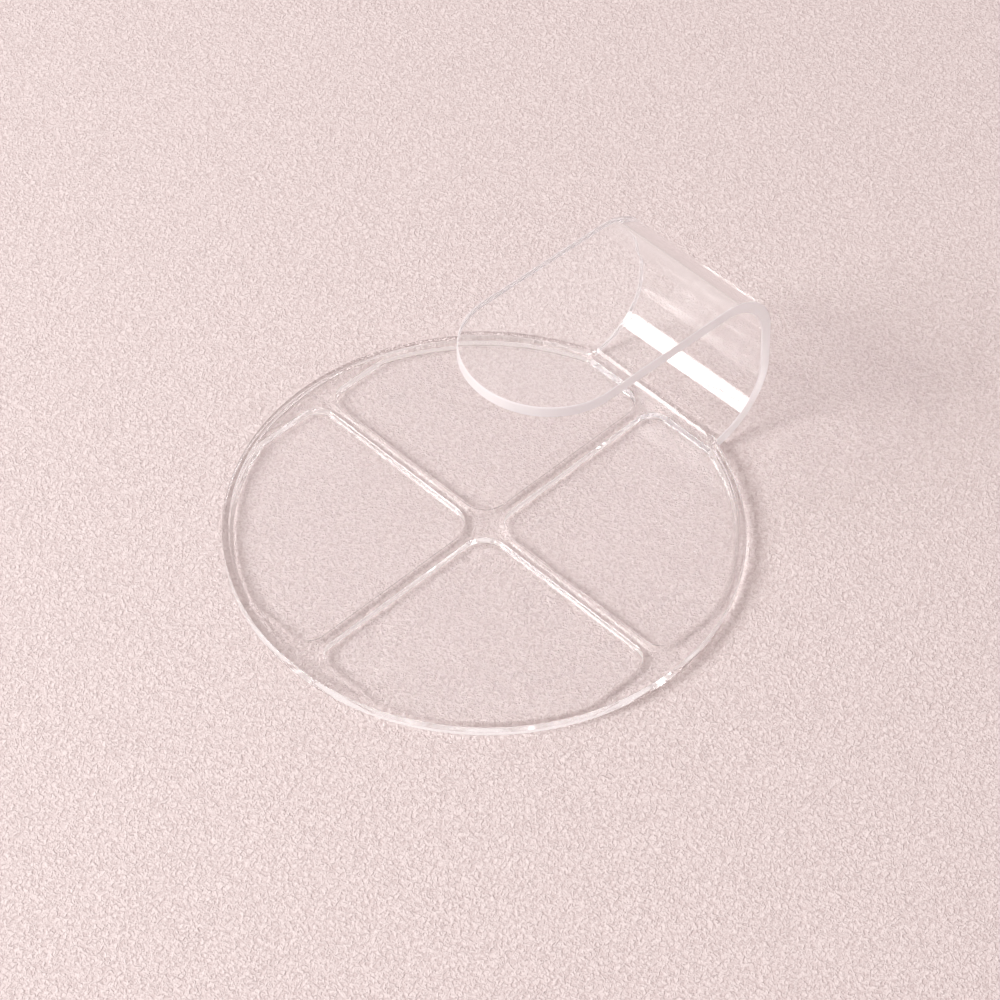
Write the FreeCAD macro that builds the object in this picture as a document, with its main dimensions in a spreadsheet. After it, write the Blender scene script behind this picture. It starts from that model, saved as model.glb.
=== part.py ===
"""Clear four-well hand dish: floor sheet, rim ring, cross divider and bent grip tongue.

Millimetres. The dish stands on z = 0 with its centre at the origin, +Z up. +X points from the
centre of the dish along one rib of the divider to the flat edge where the tongue is joined on.
"""
import FreeCAD, Part
import math
import os

import Sketcher

Vector = FreeCAD.Vector
UP = Vector(0, 0, 1)

DIMENSIONS = {
    # round dish
    "disc_diameter": 90.0,
    "floor_thick": 0.5,
    "land_top": 1.8,
    "rim_top": 2.2,
    "lip_width": 1.1,
    "rim_slope": 1.0,
    "fit_gap": 0.02,
    # wells, and the ribs between them
    "rib_half_base": 1.1,
    "rib_half_crest": 1.05,
    "well_reach_base": 40.4,
    "well_reach_crest": 40.8,
    "hub_corner": 4.45,
    "foot_corner": 3.4,
    # bent tongue
    "tongue_width": 29.6,
    "tongue_thick": 2.2,
    "lower_bend": 13.5,
    "lower_centre": 41.7,
    "side_lean": 3.7,
    "side_length": 7.6,
    "upper_bend": 13.3,
    "plate_tilt": 2.4,
    "tip_centre": 13.6,
}
FORMULAS = {
    "disc_radius": "disc_diameter / 2",
    "tongue_half": "tongue_width / 2",
    "root_flat": "sqrt(disc_radius ^ 2 - tongue_half ^ 2)",
    "lip_radius": "disc_radius - lip_width",
    "wall_foot_radius": "lip_radius - rim_slope",
    "land_height": "land_top - floor_thick",
    "block_half": "tongue_half - fit_gap",
    "foot_radius": "wall_foot_radius - fit_gap",
    "foot_crest_radius": "foot_radius + rim_slope * land_height / (rim_top - floor_thick)",
    "hub_corner_crest": "hub_corner + rib_half_base - rib_half_crest",
    "foot_corner_crest": "foot_corner + rib_half_base - rib_half_crest",
    "lower_middle": "lower_bend - tongue_thick / 2",
    "upper_middle": "upper_bend - tongue_thick / 2",
    "tip_reach": "tongue_half - tip_centre",
}


def make_sheet(doc):
    """Fill the spreadsheet: first the driving dimensions, then the sizes worked out from them."""
    sheet = doc.addObject("Spreadsheet::Sheet", "dimensions")
    cells = [(alias, str(value)) for alias, value in DIMENSIONS.items()]
    cells += [(alias, "=" + formula) for alias, formula in FORMULAS.items()]
    for row, (alias, content) in enumerate(cells, start=1):
        sheet.set(f"A{row}", alias)
        sheet.set(f"B{row}", content)
        sheet.setAlias(f"B{row}", alias)
        doc.recompute()
    return sheet


def cell(alias):
    """Expression that reads one cell of the spreadsheet."""
    return "dimensions." + alias


def new_body(doc, name):
    """Empty body whose label names the finished piece."""
    body = doc.addObject("PartDesign::Body", name)
    body.Label = name
    return body


def new_sketch(body, name, plane, lift=None):
    """Sketch on one of the body's origin planes, raised along its normal by the expression lift."""
    sketch = body.newObject("Sketcher::SketchObject", name)
    support = next(item for item in body.Origin.OriginFeatures if item.Role == plane)
    sketch.AttachmentSupport = [(support, "")]
    sketch.MapMode = "FlatFace"
    if lift:
        sketch.setExpression("AttachmentOffset.Base.z", lift)
    return sketch


def bind(sketch, constraint, name, formula):
    """Add a named dimension and drive it with an expression."""
    index = sketch.addConstraint(constraint)
    sketch.renameConstraint(index, name)
    sketch.setExpression("Constraints." + name, formula)


def hold(sketch, axis, geometry, point, name, formula):
    """Drive the distance, along X or Y, between the origin and a point of the sketch."""
    present = getattr(sketch.getPoint(geometry, point), axis.lower())
    ends = [-1, 1, geometry, point] if present >= 0 else [geometry, point, -1, 1]
    bind(sketch, Sketcher.Constraint("Distance" + axis, *ends, abs(present)), name, formula)


def join_ends(sketch, lines, closed=True):
    """Make each line start where the one before it ends."""
    for i, line in enumerate(lines):
        if i > 0 or closed:
            sketch.addConstraint(Sketcher.Constraint("Coincident", lines[i - 1], 2, line, 1))


def polyline(sketch, corners, closed=True):
    """Straight lines through the corners, joined end to end; returns their indices."""
    ends = corners[1:] + corners[:1] if closed else corners[1:]
    lines = [sketch.addGeometry(Part.LineSegment(Vector(*start), Vector(*end)), False)
             for start, end in zip(corners, ends)]
    join_ends(sketch, lines, closed)
    return lines


def rectangle(sketch, left, low, right, high):
    """Upright rectangle; each side is a pair of its present place and the expression that drives it."""
    corners = [(left[0], low[0]), (right[0], low[0]), (right[0], high[0]), (left[0], high[0])]
    lines = polyline(sketch, corners)
    for i, line in enumerate(lines):
        sketch.addConstraint(Sketcher.Constraint("Vertical" if i % 2 else "Horizontal", line))
    hold(sketch, "X", lines[3], 1, "left", left[1])
    hold(sketch, "X", lines[1], 1, "right", right[1])
    hold(sketch, "Y", lines[0], 1, "low", low[1])
    hold(sketch, "Y", lines[2], 1, "high", high[1])


def finish_feature(doc, body, feature):
    """Recompute and make the feature the body's result."""
    doc.recompute()
    body.Tip = feature
    return feature


def pad(doc, body, sketch, name, length):
    """Extrude a sketch upwards by the expression length."""
    feature = body.newObject("PartDesign::Pad", name)
    feature.Profile = sketch
    feature.setExpression("Length", length)
    return finish_feature(doc, body, feature)


def require_smaller(body, before, name):
    """Stop if a cut has taken nothing away."""
    if body.Shape.Volume >= before:
        raise RuntimeError(name + " removed nothing")


def cut_through(doc, body, sketch, name):
    """Cut a sketch's outline out of the body, both ways from the sketch."""
    doc.recompute()
    before = body.Shape.Volume
    feature = body.newObject("PartDesign::Pocket", name)
    feature.Profile = sketch
    feature.Type = "ThroughAll"
    feature.Midplane = True
    finish_feature(doc, body, feature)
    require_smaller(body, before, name)


def loft(doc, body, kind, name, lower, upper):
    """Straight-sided loft, added or subtracted, between two sketches."""
    feature = body.newObject(kind, name)
    feature.Profile = lower
    feature.Sections = [upper]
    feature.Ruled = True
    return finish_feature(doc, body, feature)


def base_sheet(doc, sheet):
    """Thin floor sheet: a disc with one flat, which the tongue is joined to."""
    body = new_body(doc, "base_sheet")
    outline = new_sketch(body, "floor_outline", "XY_Plane")
    flat, half = sheet.root_flat, sheet.tongue_half
    start = math.atan2(half, flat)
    circle = Part.Circle(Vector(), UP, sheet.disc_radius)
    arc = outline.addGeometry(Part.ArcOfCircle(circle, start, 2 * math.pi - start), False)
    chord = outline.addGeometry(Part.LineSegment(Vector(flat, -half), Vector(flat, half)), False)
    outline.addConstraint(Sketcher.Constraint("Coincident", arc, 3, -1, 1))
    outline.addConstraint(Sketcher.Constraint("Coincident", arc, 2, chord, 1))
    outline.addConstraint(Sketcher.Constraint("Coincident", arc, 1, chord, 2))
    outline.addConstraint(Sketcher.Constraint("Vertical", chord))
    bind(outline, Sketcher.Constraint("Radius", arc, sheet.disc_radius), "edge", cell("disc_radius"))
    hold(outline, "X", chord, 1, "flat", cell("root_flat"))
    pad(doc, body, outline, "floor_pad", cell("floor_thick"))
    return body


def rim_ring(doc, sheet):
    """Raised ring on the floor's edge, with a flat lip and a sloping inside, open at the tongue."""
    body = new_body(doc, "rim_ring")
    section = new_sketch(body, "rim_section", "XZ_Plane")
    corners = [(sheet.wall_foot_radius, sheet.floor_thick), (sheet.disc_radius, sheet.floor_thick),
               (sheet.disc_radius, sheet.rim_top), (sheet.lip_radius, sheet.rim_top)]
    lines = polyline(section, corners)
    section.addConstraint(Sketcher.Constraint("Horizontal", lines[0]))
    section.addConstraint(Sketcher.Constraint("Vertical", lines[1]))
    section.addConstraint(Sketcher.Constraint("Horizontal", lines[2]))
    hold(section, "X", lines[0], 1, "wall_foot", cell("wall_foot_radius"))
    hold(section, "X", lines[1], 1, "outside", cell("disc_radius"))
    hold(section, "X", lines[3], 1, "lip", cell("lip_radius"))
    hold(section, "Y", lines[0], 1, "underside", cell("floor_thick"))
    hold(section, "Y", lines[2], 1, "crest", cell("rim_top"))
    turn = body.newObject("PartDesign::Revolution", "rim_turn")
    turn.Profile = section
    turn.ReferenceAxis = (section, ["V_Axis"])
    turn.Angle = 360.0
    finish_feature(doc, body, turn)
    opening = new_sketch(body, "root_opening", "XY_Plane")
    rectangle(opening, (sheet.tip_centre, cell("tip_centre")), (-sheet.tongue_half, cell("tongue_half")),
              (sheet.disc_diameter, cell("disc_diameter")), (sheet.tongue_half, cell("tongue_half")))
    cut_through(doc, body, opening, "root_gap")
    return body


def well_outline(sketch, sheet, start, reach, hub, foot):
    """Rounded square in one quadrant, between start and reach on both axes."""
    near, far = getattr(sheet, start), getattr(sheet, reach)
    hub_radius, foot_radius = getattr(sheet, hub), getattr(sheet, foot)
    corners = [(near + hub_radius, near + hub_radius, hub_radius),
               (far - foot_radius, near + foot_radius, foot_radius),
               (far - foot_radius, far - foot_radius, foot_radius),
               (near + foot_radius, far - foot_radius, foot_radius)]
    arcs = []
    for i, (x, y, radius) in enumerate(corners):
        begin = math.pi + i * math.pi / 2
        circle = Part.Circle(Vector(x, y), UP, radius)
        arcs.append(sketch.addGeometry(Part.ArcOfCircle(circle, begin, begin + math.pi / 2), False))
    sides = []
    for arc, following in zip(arcs, arcs[1:] + arcs[:1]):
        line = Part.LineSegment(sketch.getPoint(arc, 2), sketch.getPoint(following, 1))
        sides.append(sketch.addGeometry(line, False))
        sketch.addConstraint(Sketcher.Constraint("Tangent", arc, 2, sides[-1], 1))
        sketch.addConstraint(Sketcher.Constraint("Tangent", sides[-1], 2, following, 1))
    for i, side in enumerate(sides):
        sketch.addConstraint(Sketcher.Constraint("Vertical" if i % 2 else "Horizontal", side))
    hold(sketch, "Y", sides[0], 1, "near_y", cell(start))
    hold(sketch, "X", sides[1], 1, "far_x", cell(reach))
    hold(sketch, "Y", sides[2], 1, "far_y", cell(reach))
    hold(sketch, "X", sides[3], 1, "near_x", cell(start))
    for i, arc in enumerate(arcs):
        alias = foot if i else hub
        bind(sketch, Sketcher.Constraint("Radius", arc, getattr(sheet, alias)), f"corner{i}", cell(alias))


def circle_sketch(body, name, sheet, lift, radius):
    """Circle about the dish's axis at one height."""
    sketch = new_sketch(body, name, "XY_Plane", lift)
    value = getattr(sheet, radius)
    circle = sketch.addGeometry(Part.Circle(Vector(), UP, value), False)
    sketch.addConstraint(Sketcher.Constraint("Coincident", circle, 3, -1, 1))
    bind(sketch, Sketcher.Constraint("Radius", circle, value), "edge", cell(radius))
    return sketch


def cross_divider(doc, sheet):
    """Four ribs in a cross. Each spreads into a foot against the rim; the +X foot ends at the flat."""
    body = new_body(doc, "cross_divider")
    low = circle_sketch(body, "foot_circle", sheet, cell("floor_thick"), "foot_radius")
    high = circle_sketch(body, "crest_circle", sheet, cell("land_top"), "foot_crest_radius")
    loft(doc, body, "PartDesign::AdditiveLoft", "blank", low, high)
    block = new_sketch(body, "root_outline", "XY_Plane", cell("floor_thick"))
    rectangle(block, (sheet.tip_centre, cell("tip_centre")), (-sheet.block_half, cell("block_half")),
              (sheet.root_flat, cell("root_flat")), (sheet.block_half, cell("block_half")))
    pad(doc, body, block, "root_block", cell("land_height"))
    trim = new_sketch(body, "flat_outline", "XY_Plane")
    rectangle(trim, (sheet.root_flat, cell("root_flat")), (-sheet.block_half, cell("block_half")),
              (sheet.disc_diameter, cell("disc_diameter")), (sheet.block_half, cell("block_half")))
    cut_through(doc, body, trim, "flat_cut")
    base = new_sketch(body, "well_base", "XY_Plane", cell("floor_thick"))
    well_outline(base, sheet, "rib_half_base", "well_reach_base", "hub_corner", "foot_corner")
    crest = new_sketch(body, "well_crest", "XY_Plane", cell("land_top"))
    well_outline(crest, sheet, "rib_half_crest", "well_reach_crest",
                 "hub_corner_crest", "foot_corner_crest")
    before = body.Shape.Volume
    well = loft(doc, body, "PartDesign::SubtractiveLoft", "well", base, crest)
    pattern = body.newObject("PartDesign::PolarPattern", "four_wells")
    pattern.Originals = [well]
    pattern.Axis = (base, ["N_Axis"])
    pattern.Angle = 360.0
    pattern.Occurrences = 4
    finish_feature(doc, body, pattern)
    require_smaller(body, before, pattern.Name)
    return body


def tongue_path(sketch, sheet):
    """Middle line of the tongue: lower bend, leaning side, upper bend and the plate over the dish."""
    lean = math.radians(sheet.side_lean)
    tilt = math.radians(sheet.plate_tilt)
    outward = Vector(math.cos(lean), math.sin(lean))
    low_centre = Vector(sheet.lower_centre, sheet.lower_bend)
    side_foot = low_centre + outward * sheet.lower_middle
    side_head = side_foot + Vector(-outward.y, outward.x) * sheet.side_length
    high_centre = side_head - outward * sheet.upper_middle
    lower = Part.ArcOfCircle(Part.Circle(low_centre, UP, sheet.lower_middle), -math.pi / 2, lean)
    upper = Part.ArcOfCircle(Part.Circle(high_centre, UP, sheet.upper_middle), lean, math.pi / 2 - tilt)
    crest = upper.EndPoint
    tip = Vector(-sheet.tip_reach, crest.y + (crest.x + sheet.tip_reach) * math.tan(tilt))
    shapes = [lower, Part.LineSegment(side_foot, side_head), upper, Part.LineSegment(crest, tip)]
    low_arc, side, high_arc, plate = [sketch.addGeometry(shape, False) for shape in shapes]
    for first, second in ((low_arc, side), (side, high_arc), (high_arc, plate)):
        sketch.addConstraint(Sketcher.Constraint("Tangent", first, 2, second, 1))
    hold(sketch, "X", low_arc, 3, "centre_x", cell("lower_centre"))
    hold(sketch, "Y", low_arc, 3, "centre_z", cell("lower_bend"))
    hold(sketch, "X", low_arc, 1, "start", cell("lower_centre"))
    hold(sketch, "X", plate, 2, "tip", cell("tip_reach"))
    bind(sketch, Sketcher.Constraint("Radius", low_arc, sheet.lower_middle), "low_radius",
         cell("lower_middle"))
    bind(sketch, Sketcher.Constraint("Radius", high_arc, sheet.upper_middle), "high_radius",
         cell("upper_middle"))
    bind(sketch, Sketcher.Constraint("Distance", side, sheet.side_length), "side", cell("side_length"))
    bind(sketch, Sketcher.Constraint("Angle", -1, 1, side, 1, math.pi / 2 + lean), "lean",
         "90 + " + cell("side_lean"))
    bind(sketch, Sketcher.Constraint("Angle", -1, 1, plate, 1, math.pi - tilt), "tilt",
         "180 - " + cell("plate_tilt"))


def round_end(sketch, sheet):
    """Outline of the waste beyond the tongue's half-round tip."""
    half, centre = sheet.tongue_half, sheet.tip_centre
    beyond = sheet.tongue_width
    circle = Part.Circle(Vector(centre, 0), UP, half)
    arc = sketch.addGeometry(Part.ArcOfCircle(circle, math.pi / 2, 3 * math.pi / 2), False)
    corners = [(centre, -half), (centre, -beyond), (-beyond, -beyond), (-beyond, beyond), (centre, beyond),
               (centre, half)]
    lines = polyline(sketch, corners, closed=False)
    for i, line in enumerate(lines):
        sketch.addConstraint(Sketcher.Constraint("Horizontal" if i % 2 else "Vertical", line))
    sketch.addConstraint(Sketcher.Constraint("Coincident", arc, 2, lines[0], 1))
    sketch.addConstraint(Sketcher.Constraint("Coincident", lines[4], 2, arc, 1))
    sketch.addConstraint(Sketcher.Constraint("PointOnObject", arc, 3, -1))
    hold(sketch, "X", arc, 3, "centre", cell("tip_centre"))
    hold(sketch, "X", arc, 2, "arc_end", cell("tip_centre"))
    bind(sketch, Sketcher.Constraint("Radius", arc, half), "tip_radius", cell("tongue_half"))
    hold(sketch, "X", lines[2], 1, "back", cell("tongue_width"))
    hold(sketch, "Y", lines[1], 1, "low", cell("tongue_width"))
    hold(sketch, "Y", lines[3], 1, "high", cell("tongue_width"))


def grip_tongue(doc, sheet):
    """Strip bent back over the dish, with a half-round free end, joined to the flat of the dish."""
    body = new_body(doc, "grip_tongue")
    path = new_sketch(body, "tongue_path", "XZ_Plane")
    tongue_path(path, sheet)
    section = new_sketch(body, "strip_section", "YZ_Plane", cell("lower_centre"))
    corners = [(-sheet.tongue_half, 0), (sheet.tongue_half, 0),
               (sheet.tongue_half, sheet.tongue_thick), (-sheet.tongue_half, sheet.tongue_thick)]
    lines = polyline(section, corners)
    for i, line in enumerate(lines):
        section.addConstraint(Sketcher.Constraint("Vertical" if i % 2 else "Horizontal", line))
    section.addConstraint(Sketcher.Constraint("PointOnObject", lines[0], 1, -1))
    hold(section, "X", lines[3], 1, "left", cell("tongue_half"))
    hold(section, "X", lines[1], 1, "right", cell("tongue_half"))
    hold(section, "Y", lines[2], 1, "thick", cell("tongue_thick"))
    doc.recompute()
    strip = body.newObject("PartDesign::AdditivePipe", "strip")
    strip.Profile = section
    strip.Spine = (path, [f"Edge{i}" for i in range(1, len(path.Geometry) + 1)])
    finish_feature(doc, body, strip)
    root = new_sketch(body, "root_trim", "XZ_Plane")
    rectangle(root, (sheet.tip_centre, cell("tip_centre")), (-sheet.tongue_thick, cell("tongue_thick")),
              (sheet.root_flat, cell("root_flat")), (sheet.lower_bend, cell("lower_bend")))
    cut_through(doc, body, root, "root_cut")
    end = new_sketch(body, "tip_outline", "XY_Plane")
    round_end(end, sheet)
    cut_through(doc, body, end, "tip_cut")
    return body


def check(doc, bodies):
    """Stop if anything in the document failed or a piece is not one valid solid."""
    for item in doc.Objects:
        if "Invalid" in item.State or "Error" in item.State:
            raise RuntimeError(f"{item.Name}: {item.State}")
    for body in bodies:
        shape = body.Shape
        if shape.isNull() or not shape.isValid() or len(shape.Solids) != 1:
            raise RuntimeError(body.Label + " is not one valid solid")


def main():
    doc = FreeCAD.newDocument("four_well_hand_dish")
    sheet = make_sheet(doc)
    bodies = [make(doc, sheet) for make in (base_sheet, rim_ring, cross_divider, grip_tongue)]
    doc.recompute()
    check(doc, bodies)
    os.makedirs("parts", exist_ok=True)
    for body in bodies:
        body.Shape.exportStep(f"parts/{body.Label}.step")
        print(body.Label, round(body.Shape.Volume, 1), "mm3")


main()
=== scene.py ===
"""Looks of the clear four-well hand dish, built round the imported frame.

Geometry is worked out in millimetres in the part's own frame and written in metres. The visible
plastic is described once, as surfaces that lie between two pieces or between a piece and the air,
so that each piece is a closed mesh and bonded faces meet exactly.
"""
import math

import bpy
from mathutils import Matrix, Vector


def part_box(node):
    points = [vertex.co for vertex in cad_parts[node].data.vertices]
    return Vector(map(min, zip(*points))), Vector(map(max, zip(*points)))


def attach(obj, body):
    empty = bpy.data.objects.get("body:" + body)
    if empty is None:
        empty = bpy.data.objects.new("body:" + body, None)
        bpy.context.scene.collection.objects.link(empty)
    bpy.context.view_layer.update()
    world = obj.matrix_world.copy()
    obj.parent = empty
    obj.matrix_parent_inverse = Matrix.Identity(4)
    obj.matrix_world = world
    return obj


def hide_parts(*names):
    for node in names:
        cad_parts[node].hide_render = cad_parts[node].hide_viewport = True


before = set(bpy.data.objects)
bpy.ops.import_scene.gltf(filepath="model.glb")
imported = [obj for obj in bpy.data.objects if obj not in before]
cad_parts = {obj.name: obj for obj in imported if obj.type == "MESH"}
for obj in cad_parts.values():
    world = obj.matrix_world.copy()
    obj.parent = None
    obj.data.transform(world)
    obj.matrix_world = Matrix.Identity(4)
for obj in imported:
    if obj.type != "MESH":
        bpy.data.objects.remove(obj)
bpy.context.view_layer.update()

MM = 0.001


def corners(node):
    """Lowest and highest corner of a CAD node, in millimetres."""
    low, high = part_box(node)
    return low / MM, high / MM


SHEET, RING, CROSS, TONGUE, AIR = "base_sheet", "rim_ring", "cross_divider", "grip_tongue", None
TONGUE_LOW, TONGUE_HIGH = corners(TONGUE)

# heights and radii read from the frame
RADIUS = corners(RING)[1].y
FLOOR_Z = corners(SHEET)[1].z
LAND_Z = corners(CROSS)[1].z
LIP_Z = corners(RING)[1].z
HALF = TONGUE_HIGH.y
FLAT_X = math.sqrt(RADIUS ** 2 - HALF ** 2)
TIP_X = TONGUE_LOW.x
REACH_X = TONGUE_HIGH.x

# sizes of the dish that a box doesn't give
LIP_WIDTH = 1.1
RIM_SLOPE = 1.0
RIB_HALF = 1.1
RIB_LEAN = 0.05
WELL_REACH = 40.4
FOOT_LEAN = 0.4
HUB_CORNER = 4.45
FOOT_CORNER = 3.4
COVE = 0.25
RIB_COVE = 0.4
FOOT_COVE = 0.75
CREST_ROUND = 0.22
RIB_ROUND = 0.25
LIP_ROUND = 0.25
EDGE_ROUND = 0.2

# sizes of the tongue
LOWER_BEND = 13.5
UPPER_BEND = 13.3
SIDE_LEAN = math.radians(3.7)
SIDE_LENGTH = 7.6
PLATE_TILT = math.radians(2.4)
STEP_SLOPE = math.radians(43)

# numbers of steps that curves are divided into
ROUND_STEPS = 5
LIP_STEPS = 6
CHORD_STEPS = 8
CORNER_STEPS = 16
HUB_STEPS = 12
FOOT_STEPS = 40
WELL_STEPS = 50
BEND_STEPS = 64
TIP_STEPS = 48

# finishes of a face, in the order of the material slots
PLATE, BONDED, WALL, EDGE = range(4)


# ---------------------------------------------------------------- surfaces between pieces, in mm
class Shell:
    """All surfaces of the plastic, each kept once with the pieces on its two sides."""

    def __init__(self):
        self.points = []
        self.index = {}
        self.faces = []

    def point(self, x, y, z):
        """Index of a point; points closer than a tenth of a micrometre are the same."""
        key = (round(x, 4), round(y, 4), round(z, 4))
        if key not in self.index:
            self.index[key] = len(self.points)
            self.points.append(Vector((x, y, z)))
        return self.index[key]

    def face(self, points, inside, outside=AIR, finish=PLATE):
        """Polygon whose normal, by the right-hand rule, points from inside to outside."""
        ring = [self.point(*p) for p in points]
        ring = [v for i, v in enumerate(ring) if v != ring[i - 1]]
        if len(ring) > 2:
            self.faces.append((ring, inside, outside, finish if outside is AIR else BONDED))

    def grid(self, rows, inside, outside=AIR, finish=WALL):
        """Quads between neighbouring rows; the normal is (along the row) x (to the next row)."""
        for lower, upper in zip(rows, rows[1:]):
            for i in range(len(lower) - 1):
                self.face([lower[i], lower[i + 1], upper[i + 1], upper[i]], inside, outside, finish)

    def mesh(self, piece):
        """Closed mesh of one piece, with the finish of each face as its material slot."""
        used, faces, finishes = {}, [], []
        for ring, inside, outside, finish in self.faces:
            if piece in (inside, outside):
                order = ring if piece == inside else ring[::-1]
                faces.append([used.setdefault(v, len(used)) for v in order])
                finishes.append(finish)
        mesh = bpy.data.meshes.new(piece + "_clear")
        mesh.from_pydata([self.points[v] * MM for v in used], [], faces)
        for polygon, finish in zip(mesh.polygons, finishes):
            polygon.material_index = finish
            polygon.use_smooth = True
        return mesh


def lerp(a, b, t):
    return a + (b - a) * t


def arc(centre, radius, start, end, steps):
    """Points on a circle from one angle to another, in radians."""
    return [(centre[0] + radius * math.cos(lerp(start, end, i / steps)),
             centre[1] + radius * math.sin(lerp(start, end, i / steps))) for i in range(steps + 1)]


def wall_profile(lean, height, cove, crest):
    """(offset, height) points up a leaning wall, from a cove at the floor to a rounded crest."""
    alpha = math.atan2(lean, height)
    half_angle = math.tan((math.pi / 2 + alpha) / 2)
    foot, head = cove / half_angle, crest / half_angle
    points = arc((-foot, cove), cove, -math.pi / 2, -alpha, ROUND_STEPS)
    return points + arc((lean + head, height - crest), crest, math.pi - alpha, math.pi / 2, ROUND_STEPS)


# walls of the wells: beside a rib, beside a foot, and the inside of the rim
RIB_WALL = wall_profile(RIB_LEAN, LAND_Z - FLOOR_Z, RIB_COVE, RIB_ROUND)
FOOT_WALL = wall_profile(FOOT_LEAN, LAND_Z - FLOOR_Z, FOOT_COVE, CREST_ROUND)
WALL_FOOT_RADIUS = RADIUS - LIP_WIDTH - RIM_SLOPE
RIM_WALL = wall_profile(RIM_SLOPE, LIP_Z - FLOOR_Z, COVE, LIP_ROUND)


def rim_inside(height):
    """Radius of the rim's inner wall at a height above the floor, below its rounded lip."""
    alpha = math.atan2(RIM_SLOPE, LIP_Z - FLOOR_Z)
    foot = COVE / math.tan((math.pi / 2 + alpha) / 2)
    if height < COVE * (1 - math.sin(alpha)):
        return WALL_FOOT_RADIUS - foot + math.sqrt(max(0.0, COVE ** 2 - (COVE - height) ** 2))
    return WALL_FOOT_RADIUS + height * math.tan(alpha)


def chord_angle(row):
    """Angle from a rib's middle line to the corner where its foot's wall meets the rim, at one row."""
    offset, height = FOOT_WALL[row]
    return math.acos((WELL_REACH + offset) / rim_inside(height))


ROWS = range(len(FOOT_WALL))


def rim_point(row, angle):
    """Point of the rim's inner wall at a row shared with the feet."""
    radius = rim_inside(FOOT_WALL[row][1])
    return (radius * math.cos(angle), radius * math.sin(angle), FLOOR_Z + FOOT_WALL[row][1])


def well_row(row):
    """Outline of the first quadrant's well at one row, from the x side's foot to the y side's."""
    rib_offset, rib_height = RIB_WALL[row]
    foot_offset, foot_height = FOOT_WALL[row]
    reach = WELL_REACH + foot_offset
    corner_y = rim_point(row, chord_angle(row))[1]
    points = []
    foot_y = RIB_HALF + FOOT_CORNER
    for i in range(CHORD_STEPS):
        points.append((reach, lerp(corner_y, foot_y, i / CHORD_STEPS), foot_height))
    for i in range(CORNER_STEPS + 1):
        share = i / CORNER_STEPS
        angle = -share * math.pi / 2
        radius = FOOT_CORNER + lerp(foot_offset, rib_offset, share)
        points.append((WELL_REACH - FOOT_CORNER + radius * math.cos(angle),
                       foot_y + radius * math.sin(angle), lerp(foot_height, rib_height, share)))
    hub = RIB_HALF + HUB_CORNER
    radius = HUB_CORNER + rib_offset
    for i in range(HUB_STEPS + 1):
        angle = -math.pi / 2 - i / HUB_STEPS * math.pi / 4
        points.append((hub + radius * math.cos(angle), hub + radius * math.sin(angle), rib_height))
    mirrored = [(y, x, z) for x, y, z in points[-2::-1]]
    return [(x, y, z + FLOOR_Z) for x, y, z in points + mirrored]


def turned(points, quarter):
    """Points turned about the dish's axis by quarter turns."""
    c, s = ((1, 0), (0, 1), (-1, 0), (0, -1))[quarter % 4]
    return [(x * c - y * s, x * s + y * c, z) for x, y, z in points]


WELL_ROWS = [well_row(row) for row in ROWS]


def foot_arc(row, quarter):
    """Points along a foot's outer edge at one row, anticlockwise."""
    angle = chord_angle(row)
    return [rim_point(row, quarter * math.pi / 2 + lerp(-angle, angle, i / FOOT_STEPS))
            for i in range(FOOT_STEPS + 1)]


def well_arc(row, quarter):
    """Points along a well's outer edge at one row, anticlockwise, starting in that quadrant."""
    angle = chord_angle(row)
    return [rim_point(row, quarter * math.pi / 2 + lerp(angle, math.pi / 2 - angle, i / WELL_STEPS))
            for i in range(WELL_STEPS + 1)]


ROOT_ANGLE = math.asin(HALF / RADIUS)


def cross_outline(row):
    """Closed outline of the divider at one row, anticlockwise, flat at the tongue's root."""
    z = FLOOR_Z + FOOT_WALL[row][1]
    outline = [(FLAT_X, -HALF, z), (FLAT_X, HALF, z)]
    for quarter in range(4):
        outline += turned(WELL_ROWS[row], quarter)
        if quarter < 3:
            outline += foot_arc(row, quarter + 1)[1:-1]
    return outline


def add_cross(shell):
    """Ribs and feet: well walls, tops and the faces bonded to the rim and the floor."""
    for quarter in range(4):
        shell.grid([turned(points, quarter) for points in WELL_ROWS], CROSS)
    for quarter in range(1, 4):
        shell.grid([foot_arc(row, quarter) for row in ROWS], CROSS, RING)
    shell.face(cross_outline(ROWS[-1]), CROSS)
    shell.face(cross_outline(0)[::-1], CROSS, SHEET)


def outer_profile():
    """(radius, height) points from the rim's lip, over its rounded edge, down to the floor sheet."""
    points = arc((RADIUS - LIP_ROUND, LIP_Z - LIP_ROUND), LIP_ROUND, math.pi / 2, 0, LIP_STEPS)
    return points + [(RADIUS, LAND_Z), (RADIUS, FLOOR_Z)]


RIM_CREST = [(WALL_FOOT_RADIUS + offset, FLOOR_Z + height)
             for offset, height in RIM_WALL[ROUND_STEPS + 1:]]


def upper_profile():
    """(radius, height) points from the land's level over the rim's lip and down to the floor sheet."""
    return [(rim_inside(LAND_Z - FLOOR_Z), LAND_Z)] + RIM_CREST + outer_profile()


def rim_columns(start):
    """Angles right round the rim for a line that starts at the angle start beside the tongue."""
    foot = chord_angle(ROWS[-1])
    angles = [start]
    for quarter in range(4):
        base = quarter * math.pi / 2
        first = start if quarter == 0 else base + foot
        last = 2 * math.pi - start if quarter == 3 else base + math.pi / 2 - foot
        angles += [lerp(first, last, i / WELL_STEPS) for i in range(1, WELL_STEPS + 1)]
        if quarter < 3:
            middle = base + math.pi / 2
            angles += [lerp(middle - foot, middle + foot, i / FOOT_STEPS)
                       for i in range(1, FOOT_STEPS + 1)]
    return angles


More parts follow.
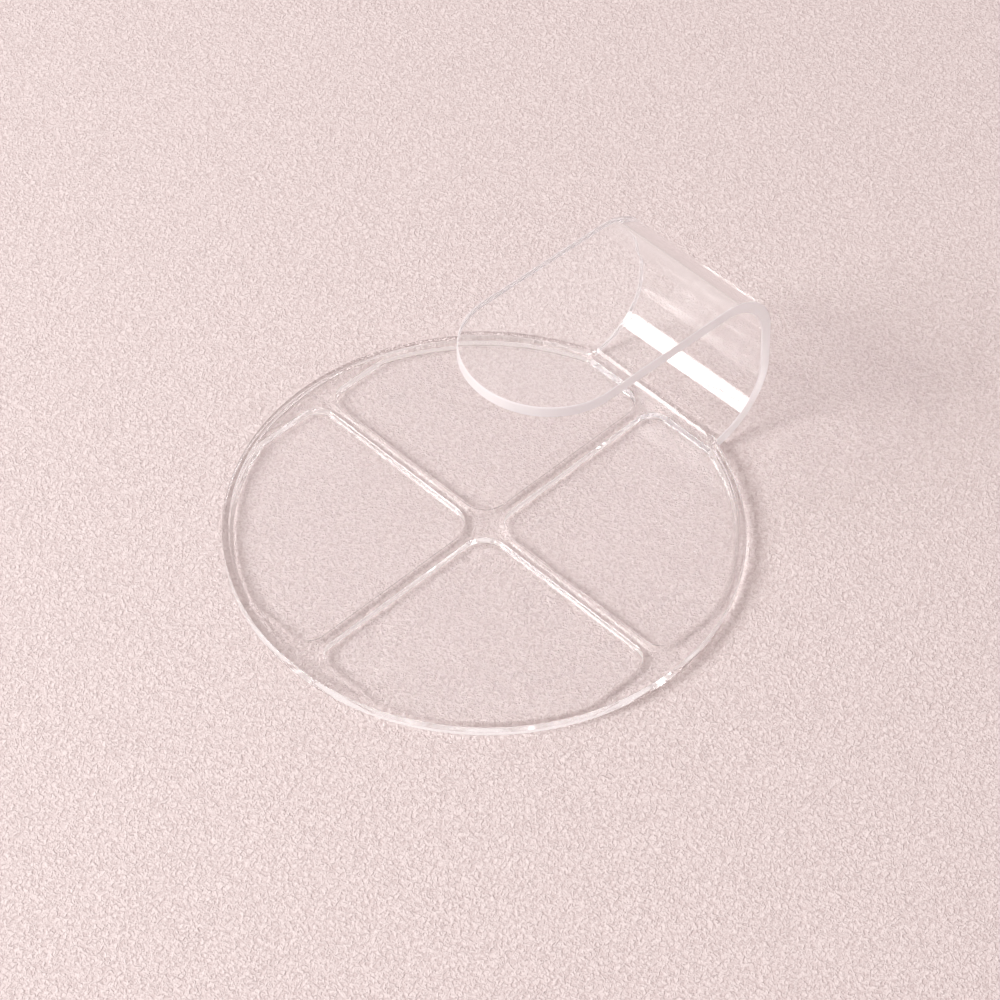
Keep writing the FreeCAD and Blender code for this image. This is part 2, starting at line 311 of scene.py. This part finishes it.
def add_ring(shell):
    """Rim: inner wall in the wells, lip and outside, bonded bottom, and ends at the tongue's root."""
    for quarter in range(4):
        shell.grid([well_arc(row, quarter)[::-1] for row in ROWS], RING)
    foot = chord_angle(ROWS[-1])
    rows = []
    # over the lip, each end of the rim moves from the foot's corner to the tongue's root
    for i, (radius, z) in enumerate(upper_profile()):
        start = lerp(foot, ROOT_ANGLE, min(1.0, i / (len(RIM_CREST) + 2)))
        rows.append([(radius * math.cos(a), radius * math.sin(a), z) for a in rim_columns(start)][::-1])
    shell.grid(rows, RING)
    inner = []
    for quarter in range(4):
        if quarter < 3:
            inner += well_arc(0, quarter)[:-1] + foot_arc(0, quarter + 1)[:-1]
        else:
            inner += well_arc(0, quarter)
    outer = [(x, y, FLOOR_Z) for x, y, z in rows[-1][::-1]]
    shell.grid([inner, outer], RING, SHEET)
    for side in (1, -1):
        lower = [(x, side * y, z) for x, y, z in [rim_point(row, chord_angle(row)) for row in ROWS]]
        upper = [row[-1 if side > 0 else 0] for row in rows]
        bonded = lower + upper[-2:]
        free = upper[:-1]
        if side > 0:
            shell.face(bonded[::-1], RING, CROSS)
            shell.face(free[::-1], RING)
        else:
            shell.face(bonded, RING, CROSS)
            shell.face(free, RING)
    return rows[-1][::-1]


def add_sheet(shell, rim_edge):
    """Floor sheet: well floors, outer edge rounded underneath, and the underside."""
    for quarter in range(4):
        floor = well_arc(0, quarter) + turned(WELL_ROWS[0], quarter)[::-1][1:-1]
        shell.face(floor, SHEET)
    edge = arc((RADIUS - EDGE_ROUND, EDGE_ROUND), EDGE_ROUND, 0, -math.pi / 2, ROUND_STEPS)
    rows = [rim_edge]
    for radius, z in edge:
        shrink = radius / RADIUS
        row = [(x * shrink, y * shrink, z) for x, y, _ in rim_edge[1:-1]]
        y_end = HALF - (RADIUS - radius)
        rows.append([(FLAT_X, y_end, z)] + row + [(FLAT_X, -y_end, z)])
    shell.grid([row[::-1] for row in rows], SHEET)
    shell.face(rows[-1][::-1], SHEET)
    flat = [row[0] for row in rows[::-1]] + [row[-1] for row in rows]
    shell.face(flat, SHEET, TONGUE)
    shell.face([(FLAT_X, -HALF, FLOOR_Z), (FLAT_X, HALF, FLOOR_Z),
                (FLAT_X, HALF, LAND_Z), (FLAT_X, -HALF, LAND_Z)], CROSS, TONGUE)


def tongue_section():
    """Half section of the tongue: (across, up) points from its underside, round the edge, to its top."""
    points = arc((HALF - EDGE_ROUND, EDGE_ROUND), EDGE_ROUND, -math.pi / 2, 0, ROUND_STEPS)
    points += [(HALF, FLOOR_Z), (HALF, LAND_Z)]
    return points + arc((HALF - LIP_ROUND, LIP_Z - LIP_ROUND), LIP_ROUND, 0, math.pi / 2, LIP_STEPS)


def tongue_path():
    """Stations along the tongue's underside: (origin, direction up through the strip)."""
    centre = Vector((REACH_X - LOWER_BEND, LOWER_BEND))
    stations = []

    def bend(middle, radius, start, end):
        for i in range(BEND_STEPS + 1):
            angle = lerp(start, end, i / BEND_STEPS)
            outward = Vector((math.cos(angle), math.sin(angle)))
            stations.append((middle + outward * radius, -outward))

    start = math.asin((FLAT_X - centre.x) / LOWER_BEND) - math.pi / 2
    bend(centre, LOWER_BEND, start, SIDE_LEAN)
    del stations[1:3]  # these would stand inside the bevelled step
    side = stations[-1][0]
    along = Vector((-math.sin(SIDE_LEAN), math.cos(SIDE_LEAN)))
    outward = Vector((math.cos(SIDE_LEAN), math.sin(SIDE_LEAN)))
    upper = side + along * SIDE_LENGTH - outward * UPPER_BEND
    bend(upper, UPPER_BEND, SIDE_LEAN, math.pi / 2 - PLATE_TILT)
    return stations


def root_point(across, height):
    """Point of the tongue's root: upright against the dish, then up the bevelled step above the land."""
    return (FLAT_X + max(0.0, height - LAND_Z) / math.tan(STEP_SLOPE), across, height)


def add_tongue(shell):
    """Tongue: strip along its path and the half-round tip, open at the root where it is bonded."""
    section = tongue_section()
    stations = tongue_path()
    crest, inward = stations[-1]
    along = Vector((-math.cos(PLATE_TILT), math.sin(PLATE_TILT)))
    tip_centre_x = TIP_X + HALF + LIP_Z * math.sin(PLATE_TILT)
    stations.append((crest + along * ((crest.x - tip_centre_x) / math.cos(PLATE_TILT)), inward))
    rows = []
    for i, (origin, up) in enumerate(stations):
        row = []
        for side in (-1, 1):
            half = section if side > 0 else section[::-1]
            for across, height in half:
                spot = origin + up * height
                row.append((spot.x, side * across, spot.y) if i else root_point(side * across, height))
        rows.append(row)
    count = len(section)
    shell.grid([row[:count] for row in rows], TONGUE, finish=EDGE)
    shell.grid([row[count:] for row in rows], TONGUE, finish=EDGE)
    shell.grid([[row[count - 1], row[count]] for row in rows], TONGUE, finish=PLATE)
    shell.grid([[row[-1], row[0]] for row in rows], TONGUE, finish=PLATE)
    origin, up = stations[-1]
    fans = []
    for i in range(TIP_STEPS + 1):
        angle = math.pi * i / TIP_STEPS
        fan = []
        for across, height in section:
            spot = origin + along * (across * math.sin(angle)) + up * height
            fan.append((spot.x, across * math.cos(angle), spot.y))
        fans.append(fan)
    shell.grid(fans, TONGUE, finish=EDGE)
    shell.face([fan[-1] for fan in fans[::-1]], TONGUE)
    shell.face([fan[0] for fan in fans], TONGUE)
    above_land = [point for point in section if point[1] >= LAND_Z]
    step = [root_point(-across, height) for across, height in above_land]
    step += [root_point(across, height) for across, height in above_land[::-1]]
    shell.face(step, TONGUE)


# ---------------------------------------------------------------- materials
def new_material(name):
    """Empty node material; returns it with its nodes, links and output."""
    material = bpy.data.materials.new(name)
    material.use_nodes = True
    tree = material.node_tree
    tree.nodes.clear()
    return material, tree, tree.nodes.new("ShaderNodeOutputMaterial")


def clear_plastic(name, roughness, wave_strength, shade, tint, clarity=1.0):
    """Clear plastic that bends light, with a faint wave and haze.

    roughness is its range over the haze, shade is the share of lamp light that a face passes, and
    clarity is the share of the surface's colour that is see-through rather than milky; the milky share
    takes the tint, which on the edges is partly painted shade.
    """
    material, tree, output = new_material(name)
    shader = tree.nodes.new("ShaderNodeBsdfPrincipled")
    shader.inputs["Base Color"].default_value = (*tint, 1)
    shader.inputs["IOR"].default_value = 1.49
    shader.inputs["Transmission Weight"].default_value = clarity
    place = tree.nodes.new("ShaderNodeTexCoord")
    haze = tree.nodes.new("ShaderNodeTexNoise")
    haze.inputs["Scale"].default_value = 900.0
    haze.inputs["Detail"].default_value = 4.0
    rough = tree.nodes.new("ShaderNodeMapRange")
    rough.inputs["From Min"].default_value = 0.35
    rough.inputs["From Max"].default_value = 0.75
    rough.inputs["To Min"].default_value = roughness[0]
    rough.inputs["To Max"].default_value = roughness[1]
    wave = tree.nodes.new("ShaderNodeTexNoise")
    wave.inputs["Scale"].default_value = 45.0
    wave.inputs["Detail"].default_value = 1.0
    bump = tree.nodes.new("ShaderNodeBump")
    bump.inputs["Strength"].default_value = wave_strength
    bump.inputs["Distance"].default_value = 0.0004
    through = tree.nodes.new("ShaderNodeBsdfTransparent")
    through.inputs["Color"].default_value = (shade, shade, shade, 1)
    path = tree.nodes.new("ShaderNodeLightPath")
    mix = tree.nodes.new("ShaderNodeMixShader")
    link = tree.links.new
    link(place.outputs["Object"], haze.inputs["Vector"])
    link(place.outputs["Object"], wave.inputs["Vector"])
    link(haze.outputs["Fac"], rough.inputs["Value"])
    link(rough.outputs["Result"], shader.inputs["Roughness"])
    link(wave.outputs["Fac"], bump.inputs["Height"])
    link(bump.outputs["Normal"], shader.inputs["Normal"])
    link(path.outputs["Is Shadow Ray"], mix.inputs[0])
    link(shader.outputs["BSDF"], mix.inputs[1])
    link(through.outputs["BSDF"], mix.inputs[2])
    link(mix.outputs["Shader"], output.inputs["Surface"])
    return material


def bonded_face():
    """Solvent-bonded joint inside the plastic: light passes it straight, as through solid plastic."""
    material, tree, output = new_material("bonded_face")
    through = tree.nodes.new("ShaderNodeBsdfTransparent")
    tree.links.new(through.outputs["BSDF"], output.inputs["Surface"])
    return material


def table_top():
    """Pale pink table covering with a fine embossed grain."""
    material, tree, output = new_material("table_top")
    shader = tree.nodes.new("ShaderNodeBsdfPrincipled")
    shader.inputs["Roughness"].default_value = 0.75
    shader.inputs["Specular IOR Level"].default_value = 0.2
    place = tree.nodes.new("ShaderNodeTexCoord")
    grain = tree.nodes.new("ShaderNodeTexNoise")
    grain.inputs["Scale"].default_value = 1700.0
    grain.inputs["Detail"].default_value = 1.5
    grain.inputs["Distortion"].default_value = 1.0
    colours = tree.nodes.new("ShaderNodeValToRGB")
    colours.color_ramp.elements[0].position = 0.36
    colours.color_ramp.elements[0].color = (0.65, 0.572, 0.569, 1)
    colours.color_ramp.elements[1].position = 0.6
    colours.color_ramp.elements[1].color = (0.79, 0.727, 0.724, 1)
    bump = tree.nodes.new("ShaderNodeBump")
    bump.inputs["Strength"].default_value = 1.0
    bump.inputs["Distance"].default_value = 0.00045
    link = tree.links.new
    link(place.outputs["Object"], grain.inputs["Vector"])
    link(grain.outputs["Fac"], colours.inputs["Fac"])
    link(grain.outputs["Fac"], bump.inputs["Height"])
    link(bump.outputs["Normal"], shader.inputs["Normal"])
    link(colours.outputs["Color"], shader.inputs["Base Color"])
    link(shader.outputs["BSDF"], output.inputs["Surface"])
    return material


# ---------------------------------------------------------------- pieces
SHARP_ANGLE = math.radians(35)


def add_pieces():
    """Make the four clear pieces, each standing for its CAD node."""
    shell = Shell()
    add_cross(shell)
    rim_edge = add_ring(shell)
    add_sheet(shell, rim_edge)
    add_tongue(shell)
    finishes = [clear_plastic("clear_plastic", roughness=(0.0, 0.04), wave_strength=0.04, shade=0.45,
                              tint=(1.0, 1.0, 1.0)),
                bonded_face(),
                clear_plastic("clear_plastic_wall", roughness=(0.0, 0.02), wave_strength=0.02, shade=0.0,
                              tint=(0.995, 0.995, 0.995)),
                # edge finish: frosted cut edges, with a milky blue-grey tint that is partly painted
                # shade for the darker reflections and caught light seen in the edges
                clear_plastic("clear_plastic_edge_frost_and_painted_shade", roughness=(0.3, 0.45), wave_strength=0.02, shade=0.1,
                              tint=(0.9, 0.895, 0.91), clarity=0.45)]
    for name in (SHEET, RING, CROSS, TONGUE):
        piece = bpy.data.objects.new(name + "_clear", shell.mesh(name))
        bpy.context.scene.collection.objects.link(piece)
        for finish in finishes:
            piece.data.materials.append(finish)
        even = piece.modifiers.new("even_normals", "WEIGHTED_NORMAL")
        even.keep_sharp = True
        sharpen(piece.data)
        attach(piece, "root")
        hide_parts(name)


def sharpen(mesh):
    """Mark edges sharp where two faces turn by more than a rounded edge's step, or change finish."""
    limit = math.cos(SHARP_ANGLE)
    normals = {}
    for polygon in mesh.polygons:
        for key in polygon.edge_keys:
            normals.setdefault(key, []).append((polygon.normal.copy(), polygon.material_index))
    for edge in mesh.edges:
        (first, first_finish), (second, second_finish) = normals[edge.key]
        edge.use_edge_sharp = first.dot(second) < limit or first_finish != second_finish


# ---------------------------------------------------------------- stage, in metres
TABLE_HALF = 3.0
TABLE_GAP = 0.00002

# camera worked out from the dish's outline
VIEW_AZIMUTH = math.radians(-45.85)
VIEW_ELEVATION = math.radians(48.01)
VIEW_ROLL = math.radians(1.39)
VIEW_TARGET = Vector((6.80, 3.04, 0.0)) * MM
VIEW_DISTANCE = 0.615
LENS_MM = 127.7

# directions and distances of the lights
KEY_PLACE = Vector((-0.72, 0.43, 0.54)) * 1.2
SKY_PLACE = Vector((0.68, 0.47, 0.56)) * 1.3

# enough bounces for light caught in the plastic to get out again
LIGHT_BOUNCES = 160
CLEAR_LAYERS = 64


def add_floor():
    """Table that the dish stands on, just under it so that the two faces don't coincide."""
    mesh = bpy.data.meshes.new("table")
    corner_signs = ((-1, -1), (1, -1), (1, 1), (-1, 1))
    mesh.from_pydata([(x * TABLE_HALF, y * TABLE_HALF, 0) for x, y in corner_signs], [], [(0, 1, 2, 3)])
    floor = bpy.data.objects.new("table", mesh)
    floor.location.z = -TABLE_GAP
    mesh.materials.append(table_top())
    bpy.context.scene.collection.objects.link(floor)


def add_camera():
    """Camera at the photograph's viewing angle."""
    back = Vector((math.sin(VIEW_AZIMUTH) * math.cos(VIEW_ELEVATION),
                   -math.cos(VIEW_AZIMUTH) * math.cos(VIEW_ELEVATION), math.sin(VIEW_ELEVATION)))
    data = bpy.data.cameras.new("camera")
    data.sensor_width = 36.0
    data.lens = LENS_MM
    data.clip_start = 0.01
    camera = bpy.data.objects.new("camera", data)
    bpy.context.scene.collection.objects.link(camera)
    camera.rotation_mode = "QUATERNION"
    roll = Matrix.Rotation(VIEW_ROLL, 3, "Z").to_quaternion()
    camera.rotation_quaternion = (-back).to_track_quat("-Z", "Y") @ roll
    camera.location = VIEW_TARGET + back * VIEW_DISTANCE
    bpy.context.scene.camera = camera


def add_light(name, place, size, power, colour):
    """Rectangular soft light turned to the dish; place and size in metres, power in watts."""
    data = bpy.data.lights.new(name, "AREA")
    data.shape = "RECTANGLE"
    data.size, data.size_y = size
    data.energy = power
    data.color = colour
    light = bpy.data.objects.new(name, data)
    bpy.context.scene.collection.objects.link(light)
    light.location = place
    light.rotation_mode = "QUATERNION"
    light.rotation_quaternion = (-place).to_track_quat("-Z", "Y")


def add_lights():
    """Pale surroundings as bright as the table, a key light and a weak light from behind the tongue."""
    world = bpy.data.worlds.new("studio")
    bpy.context.scene.world = world
    world.use_nodes = True
    background = world.node_tree.nodes["Background"]
    background.inputs["Color"].default_value = (0.80, 0.69, 0.67, 1)
    background.inputs["Strength"].default_value = 1.0
    add_light("key", KEY_PLACE, size=(0.42, 0.53), power=11.5, colour=(1.0, 0.99, 0.98))
    add_light("sky", SKY_PLACE, size=(0.95, 1.2), power=0.8, colour=(0.90, 0.96, 1.0))


add_camera()
add_floor()
add_lights()
add_pieces()
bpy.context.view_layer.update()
bpy.context.scene.view_settings.view_transform = "Standard"
cycles = bpy.context.scene.cycles
cycles.max_bounces = LIGHT_BOUNCES
cycles.transmission_bounces = LIGHT_BOUNCES
cycles.glossy_bounces = LIGHT_BOUNCES
cycles.transparent_max_bounces = CLEAR_LAYERS
cycles.blur_glossy = 0.0
